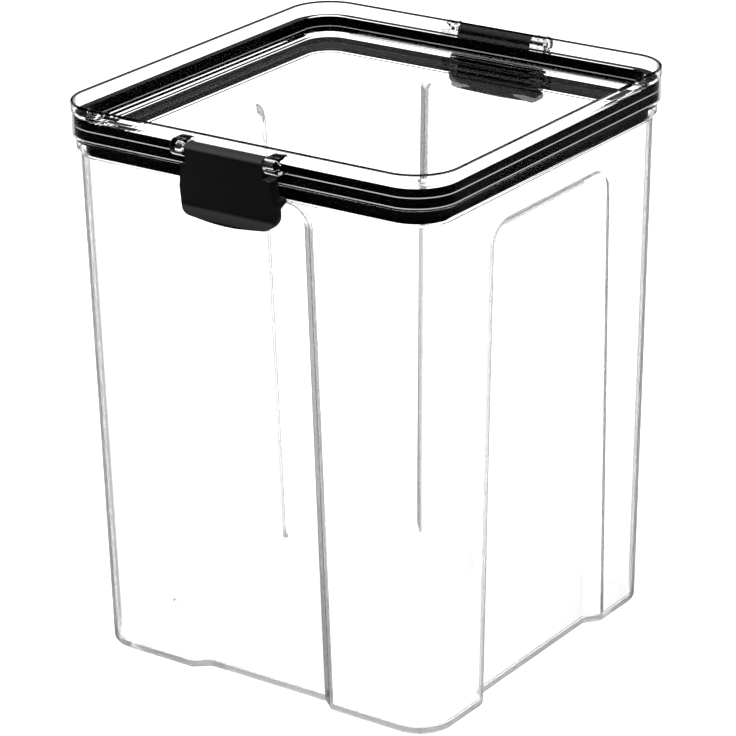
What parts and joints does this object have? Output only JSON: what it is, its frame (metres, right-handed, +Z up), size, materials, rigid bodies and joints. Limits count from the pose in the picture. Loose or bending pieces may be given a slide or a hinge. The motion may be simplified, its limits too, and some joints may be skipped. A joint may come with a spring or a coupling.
{
  "type": "food canister",
  "caption": "Tall square clear food canister with recessed wall panels, a clear tray-shaped lid with a seal ring, and hinged side clips that lock the lid down.",
  "frame": {"origin": "on the resting plane, under the middle of the canister, which is the middle of its box", "axes": "+Z up from the feet to the lid; the front clip is on the -Y side and the back clip on the +Y side; +X to the right seen from the front clip"},
  "size_m": [0.177, 0.193, 0.232],
  "materials": {
    "clear_plastic": "polished clear moulded copolyester",
    "seal_rubber": "smooth black silicone",
    "clip_plastic": "black satin moulded plastic"
  },
  "bodies": {
    "container": {"container": "clear_plastic"},
    "lid": {"lid": "clear_plastic", "seal_ring": "seal_rubber"},
    "clip_front": {"clip_front": "clip_plastic"},
    "clip_back": {"clip_back": "clip_plastic"}
  },
  "joints": [
    {"name": "lid_lift", "type": "slide", "parent": "container", "child": "lid", "axis": [0, 0, 1], "range_m": [0, 0.12]},
    {"name": "clip_front_hinge", "type": "hinge", "parent": "lid", "child": "clip_front", "pos_m": [0, -0.0931, 0.227], "axis": [-1, 0, 0], "range_deg": [0, 120]},
    {"name": "clip_back_hinge", "type": "hinge", "parent": "lid", "child": "clip_back", "pos_m": [0, 0.0931, 0.227], "axis": [1, 0, 0], "range_deg": [0, 120]}
  ]
}
